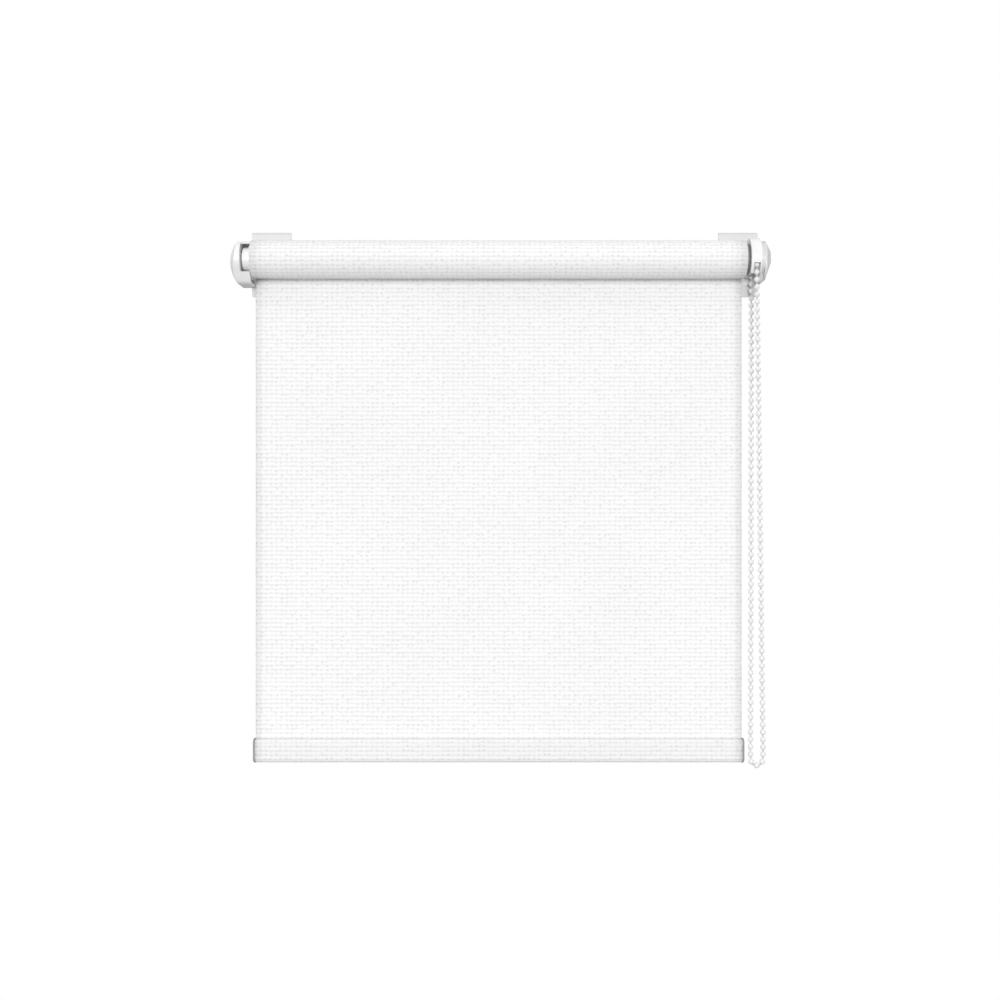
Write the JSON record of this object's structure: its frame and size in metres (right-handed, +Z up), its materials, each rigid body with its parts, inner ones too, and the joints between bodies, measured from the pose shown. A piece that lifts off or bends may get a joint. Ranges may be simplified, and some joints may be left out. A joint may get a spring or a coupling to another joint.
{
  "type": "roller blind",
  "caption": "Chain-operated roller blind with a ribbed cloth, a weighted bottom bar and over-the-sash hooks, hanging lowered.",
  "frame": {"origin": "on the line where the window sash's top edge meets its room-side face, midway along the cloth", "axes": "+X along the roller towards the chain, +Y from the room into the window, +Z up"},
  "size_m": [0.4376, 0.0596, 0.4391],
  "materials": {
    "fabric": "coarse ribbed weave, matt",
    "white_plastic": "moulded, semi-gloss",
    "cover_plastic": "moulded, semi-gloss, slightly translucent",
    "hook_steel": "powder coated, satin",
    "foam": "closed-cell foam, matt",
    "screw_steel": "zinc plated",
    "spring_steel": "oiled wire",
    "tube_aluminium": "mill finish",
    "bar_aluminium": "mill finish",
    "tape": "clear adhesive film",
    "clutch_plastic": "glass-filled nylon, matt",
    "cap_grey": "moulded, matt grey",
    "chain_plastic": "moulded beads on a cord",
    "cord": "braided polyester"
  },
  "bodies": {
    "frame": {"hanger_left": "hook_steel", "hanger_right": "hook_steel", "hanger_pad_left": "foam", "hanger_pad_right": "foam", "bracket_left": "white_plastic", "bracket_right": "cover_plastic", "bracket_cover_left": "white_plastic", "bracket_cover_right": "cover_plastic", "bracket_screws_left": "screw_steel", "bracket_screws_right": "screw_steel", "clutch_housing": "white_plastic", "housing_plate": "white_plastic", "clutch_core": "clutch_plastic", "core_screw": "screw_steel", "core_clip": "spring_steel", "chain_cord": "cord", "chain_beads": "chain_plastic"},
    "roller": {"roller_tube": "tube_aluminium", "tube_tape": "tape", "fabric_roll": "fabric", "idle_plug": "white_plastic", "plug_cap": "white_plastic", "pin_spring": "spring_steel", "drive_hub": "clutch_plastic", "sprocket": "white_plastic", "wrap_spring_inner": "spring_steel", "wrap_spring_outer": "spring_steel"},
    "idle_pin": {"idle_pin": "white_plastic"},
    "bar": {"fabric_sheet": "fabric", "hem_pocket": "fabric", "bottom_bar": "bar_aluminium", "bar_cap_left": "cap_grey", "bar_cap_right": "cap_grey"}
  },
  "joints": [
    {"name": "roller_spin", "type": "hinge", "parent": "frame", "child": "roller", "pos_m": [0, -0.0229, -0.0245], "axis": [1, 0, 0], "range_deg": [0, 1260], "deforming": ["chain_beads", "chain_cord"]},
    {"name": "bar_travel", "type": "slide", "parent": "frame", "child": "bar", "axis": [0, 0, 1], "range_m": [0, 0.363], "deforming": ["fabric_sheet"]},
    {"name": "idle_pin_slide", "type": "slide", "parent": "roller", "child": "idle_pin", "axis": [1, 0, 0], "range_m": [0, 0.0055], "stiffness_N_per_m": 200, "springref_m": -0.004, "deforming": ["pin_spring"]}
  ],
  "couplings": [
    {"joint": "bar_travel", "follows": "roller_spin", "m_per_rad": 0.0165}
  ]
}
